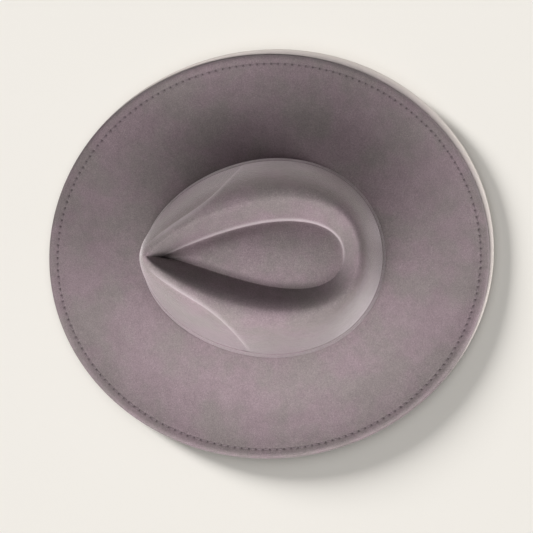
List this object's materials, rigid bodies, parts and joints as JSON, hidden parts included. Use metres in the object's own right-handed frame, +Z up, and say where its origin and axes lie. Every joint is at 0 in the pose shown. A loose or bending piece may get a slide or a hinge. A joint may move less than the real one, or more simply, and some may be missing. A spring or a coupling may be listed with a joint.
{
  "type": "wide brim felt hat",
  "caption": "Wide-brimmed suede-felt hat with a pinched teardrop crown, a layered and stitched brim, a sweatband and a satin lining.",
  "frame": {"origin": "middle of the hat's outline, on the floor that the brim rests on", "axes": "+Y towards the back of the hat, +X towards the wearer's left, +Z up out of the crown"},
  "size_m": [0.368, 0.4024, 0.1226],
  "materials": {
    "suede": "mauve-grey suede-finished felt, brushed nap",
    "under_suede": "mauve-grey suede-finished felt with a pale, bevel-cut edge",
    "core_felt": "stiffened felt board",
    "steel": "drawn spring steel wire",
    "edge_thread": "twisted polyester thread, tone on tone",
    "band_thread": "twisted cream thread",
    "leather": "thin brown leather, satin grain",
    "reed_plastic": "extruded plastic reed",
    "tape_fabric": "dark waxed cotton tape",
    "satin": "satin lining, soft gloss",
    "ribbon": "ribbed grosgrain"
  },
  "bodies": {
    "root": {"crown_shell": "suede", "brim_top_layer": "suede", "brim_core": "core_felt", "brim_under_layer": "under_suede", "brim_wire": "steel", "brim_wire_sleeve": "steel", "edge_stitching_top": "edge_thread", "edge_stitching_under": "edge_thread", "crown_seam_thread": "edge_thread", "hat_band": "suede", "sweatband": "leather", "sweatband_reed": "reed_plastic", "sweatband_reed_tape": "tape_fabric", "sweatband_stitching": "band_thread", "sweatband_bow": "ribbon", "lining_side": "satin", "lining_tip": "satin", "lining_label": "ribbon"}
  },
  "joints": []
}
